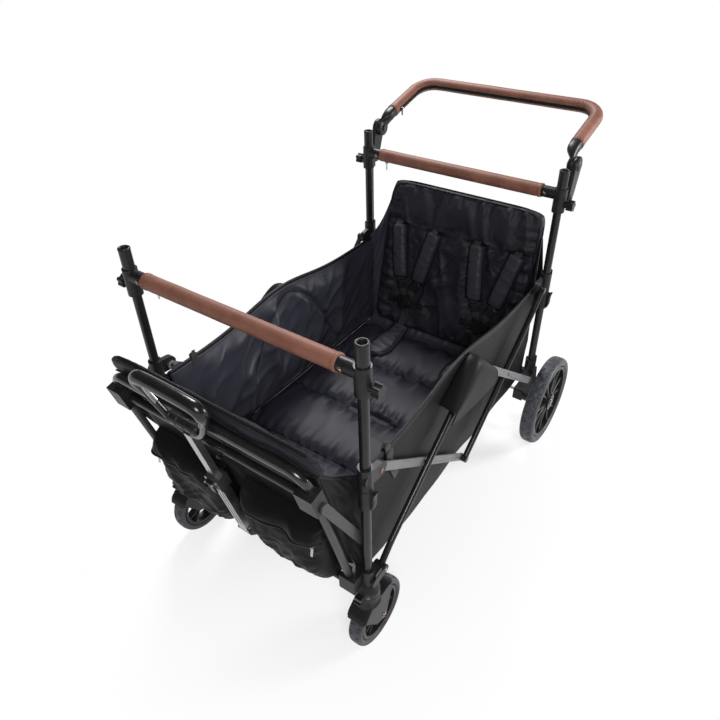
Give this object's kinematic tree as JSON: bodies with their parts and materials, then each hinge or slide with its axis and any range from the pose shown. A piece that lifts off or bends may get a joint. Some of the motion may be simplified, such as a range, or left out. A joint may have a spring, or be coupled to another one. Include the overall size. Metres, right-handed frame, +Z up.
{
  "type": "stroller wagon",
  "caption": "Folding stroller wagon: soft basket slung between posts on crossed links, push handle, telescoping pull handle, swivel casters and large rear wheels.",
  "frame": {"origin": "on the ground under the middle of the bounding box", "axes": "+X to the right seen from the pull end, +Y towards the push handle, +Z up"},
  "size_m": [0.79, 1.4268, 1.0273],
  "materials": {
    "frame_paint": "satin black powder coat",
    "black_plastic": "fine grained black",
    "rim_plastic": "satin black",
    "link_metal": "satin mid grey",
    "leather": "brown, lightly grained, stitched",
    "cloth": "black woven cloth",
    "padded_cloth": "black quilted cloth",
    "webbing": "black ribbed webbing",
    "tyre": "dull dark grey",
    "stem_metal": "satin grey, grooved",
    "axle_steel": "dark zinc",
    "button_plastic": "grey"
  },
  "bodies": {
    "rear_frame": {"rear_posts": "frame_paint", "rear_corners": "black_plastic", "rear_axle": "axle_steel", "rear_lock_collars": "black_plastic", "rear_bar_clamps": "black_plastic", "rear_bar_tube": "frame_paint", "rear_bar_grip": "leather", "push_hinge_bases": "black_plastic", "rear_panel": "cloth", "backrest_pad": "padded_cloth", "harness_straps": "webbing", "harness_pads": "padded_cloth", "floor_pad": "padded_cloth", "side_panels": "cloth"},
    "brake_pedal": {"brake_pedal": "black_plastic"},
    "push_handle": {"push_handle_tube": "frame_paint", "push_handle_grip": "leather", "push_hinge_arms": "black_plastic"},
    "push_button_left": {"push_button_left": "button_plastic"},
    "push_button_right": {"push_button_right": "button_plastic"},
    "rear_knob_left": {"rear_knob_left": "black_plastic"},
    "rear_knob_right": {"rear_knob_right": "black_plastic"},
    "rear_wheel_left": {"rear_tyre_left": "tyre", "rear_rim_left": "rim_plastic"},
    "rear_wheel_right": {"rear_tyre_right": "tyre", "rear_rim_right": "rim_plastic"},
    "rear_flat_links": {"rear_flat_links": "link_metal"},
    "rear_tube_links": {"rear_tube_links": "frame_paint"},
    "rear_sliders": {"rear_sliders": "black_plastic"},
    "front_tube_links": {"front_tube_links": "frame_paint"},
    "front_flat_links": {"front_flat_links": "link_metal"},
    "front_sliders": {"front_sliders": "black_plastic"},
    "front_frame": {"front_posts": "frame_paint", "front_corners": "black_plastic", "caster_housings": "black_plastic", "front_cross_tubes": "frame_paint", "front_lock_collars": "black_plastic", "front_bar_clamps": "black_plastic", "front_bar_tube": "frame_paint", "front_bar_grip": "leather", "front_hoop": "frame_paint", "front_hoop_brackets": "black_plastic", "front_hoop_stays": "link_metal", "front_panel": "cloth", "front_pockets": "cloth", "handle_yoke": "black_plastic"},
    "pull_stem": {"handle_outer_stem": "stem_metal"},
    "pull_latch": {"handle_latch": "black_plastic"},
    "pull_grip": {"handle_inner_stem": "stem_metal", "handle_grip": "black_plastic"},
    "caster_left": {"caster_fork_left": "black_plastic"},
    "caster_right": {"caster_fork_right": "black_plastic"},
    "caster_wheel_left": {"caster_tyre_left": "tyre", "caster_rim_left": "rim_plastic"},
    "caster_wheel_right": {"caster_tyre_right": "tyre", "caster_rim_right": "rim_plastic"},
    "caster_lock_left": {"caster_lock_left": "button_plastic"},
    "caster_lock_right": {"caster_lock_right": "button_plastic"},
    "front_knob_left": {"front_knob_left": "black_plastic"},
    "front_knob_right": {"front_knob_right": "black_plastic"}
  },
  "joints": [
    {"name": "fold", "type": "hinge", "parent": "rear_frame", "child": "rear_flat_links", "pos_m": [0, 0.35991, 0.262], "axis": [-1, 0, 0], "range_deg": [0, 36], "deforming": ["floor_pad", "side_panels"]},
    {"name": "fold_front_tubes", "type": "hinge", "parent": "rear_flat_links", "child": "front_tube_links", "pos_m": [0, -0.05709, 0.59], "axis": [-1, 0, 0], "range_deg": [-72, 0]},
    {"name": "fold_front_frame", "type": "hinge", "parent": "front_tube_links", "child": "front_frame", "pos_m": [0, -0.47408, 0.262], "axis": [-1, 0, 0], "range_deg": [0, 36]},
    {"name": "fold_rear_tubes", "type": "hinge", "parent": "rear_flat_links", "child": "rear_tube_links", "pos_m": [0, 0.15141, 0.426], "axis": [-1, 0, 0], "range_deg": [-72, 0]},
    {"name": "fold_rear_sliders", "type": "hinge", "parent": "rear_tube_links", "child": "rear_sliders", "pos_m": [0, 0.35991, 0.59], "axis": [-1, 0, 0], "range_deg": [0, 36]},
    {"name": "fold_front_flats", "type": "hinge", "parent": "front_tube_links", "child": "front_flat_links", "pos_m": [0, -0.26559, 0.426], "axis": [-1, 0, 0], "range_deg": [0, 72]},
    {"name": "fold_front_sliders", "type": "hinge", "parent": "front_flat_links", "child": "front_sliders", "pos_m": [0, -0.47408, 0.59], "axis": [-1, 0, 0], "range_deg": [-36, 0]},
    {"name": "push_hinge", "type": "hinge", "parent": "rear_frame", "child": "push_handle", "pos_m": [0, 0.46792, 0.921], "axis": [1, 0, 0], "range_deg": [-60, 45]},
    {"name": "push_button_left_press", "type": "slide", "parent": "push_handle", "child": "push_button_left", "axis": [-1, 0, 0], "range_m": [0, 0.004], "stiffness_N_per_m": 400, "springref_m": -0.004},
    {"name": "push_button_right_press", "type": "slide", "parent": "push_handle", "child": "push_button_right", "axis": [1, 0, 0], "range_m": [0, 0.004], "stiffness_N_per_m": 400, "springref_m": -0.004},
    {"name": "rear_knob_left_turn", "type": "hinge", "parent": "rear_frame", "child": "rear_knob_left", "pos_m": [-0.333, 0.39992, 0.838], "axis": [1, 0, 0], "range_deg": [-180, 180]},
    {"name": "rear_knob_right_turn", "type": "hinge", "parent": "rear_frame", "child": "rear_knob_right", "pos_m": [0.333, 0.39992, 0.838], "axis": [1, 0, 0], "range_deg": [-180, 180]},
    {"name": "rear_wheel_left_spin", "type": "hinge", "parent": "rear_frame", "child": "rear_wheel_left", "pos_m": [-0.368, 0.42991, 0.15], "axis": [1, 0, 0], "continuous": true},
    {"name": "rear_wheel_right_spin", "type": "hinge", "parent": "rear_frame", "child": "rear_wheel_right", "pos_m": [0.368, 0.42991, 0.15], "axis": [1, 0, 0], "continuous": true},
    {"name": "brake_press", "type": "hinge", "parent": "rear_frame", "child": "brake_pedal", "pos_m": [0, 0.42991, 0.15], "axis": [1, 0, 0], "range_deg": [-25, 0]},
    {"name": "pull_swing", "type": "hinge", "parent": "front_frame", "child": "pull_stem", "pos_m": [0, -0.58108, 0.29], "axis": [1, 0, 0], "range_deg": [0, 75]},
    {"name": "pull_extend", "type": "slide", "parent": "pull_stem", "child": "pull_grip", "axis": [0, -0.2284, 0.9736], "range_m": [0, 0.17]},
    {"name": "pull_latch_open", "type": "hinge", "parent": "pull_stem", "child": "pull_latch", "pos_m": [0, -0.65539, 0.51703], "axis": [1, 0, 0], "range_deg": [-70, 0]},
    {"name": "caster_left_swivel", "type": "hinge", "parent": "front_frame", "child": "caster_left", "pos_m": [-0.31, -0.51409, 0.22], "axis": [0, 0, 1], "continuous": true},
    {"name": "caster_wheel_left_spin", "type": "hinge", "parent": "caster_left", "child": "caster_wheel_left", "pos_m": [-0.31, -0.48608, 0.092], "axis": [1, 0, 0], "continuous": true},
    {"name": "caster_lock_left_slide", "type": "slide", "parent": "front_frame", "child": "caster_lock_left", "axis": [0, 0, -1], "range_m": [0, 0.005]},
    {"name": "caster_right_swivel", "type": "hinge", "parent": "front_frame", "child": "caster_right", "pos_m": [0.31, -0.51409, 0.22], "axis": [0, 0, 1], "continuous": true},
    {"name": "caster_wheel_right_spin", "type": "hinge", "parent": "caster_right", "child": "caster_wheel_right", "pos_m": [0.31, -0.48608, 0.092], "axis": [1, 0, 0], "continuous": true},
    {"name": "caster_lock_right_slide", "type": "slide", "parent": "front_frame", "child": "caster_lock_right", "axis": [0, 0, -1], "range_m": [0, 0.005]},
    {"name": "front_knob_left_turn", "type": "hinge", "parent": "front_frame", "child": "front_knob_left", "pos_m": [-0.333, -0.51409, 0.838], "axis": [1, 0, 0], "range_deg": [-180, 180]},
    {"name": "front_knob_right_turn", "type": "hinge", "parent": "front_frame", "child": "front_knob_right", "pos_m": [0.333, -0.51409, 0.838], "axis": [1, 0, 0], "range_deg": [-180, 180]}
  ],
  "couplings": [
    {"joint": "fold_front_tubes", "follows": "fold", "ratio": -2},
    {"joint": "fold_front_frame", "follows": "fold", "ratio": 1},
    {"joint": "fold_rear_tubes", "follows": "fold", "ratio": -2},
    {"joint": "fold_rear_sliders", "follows": "fold", "ratio": 1},
    {"joint": "fold_front_flats", "follows": "fold", "ratio": 2},
    {"joint": "fold_front_sliders", "follows": "fold", "ratio": -1}
  ]
}
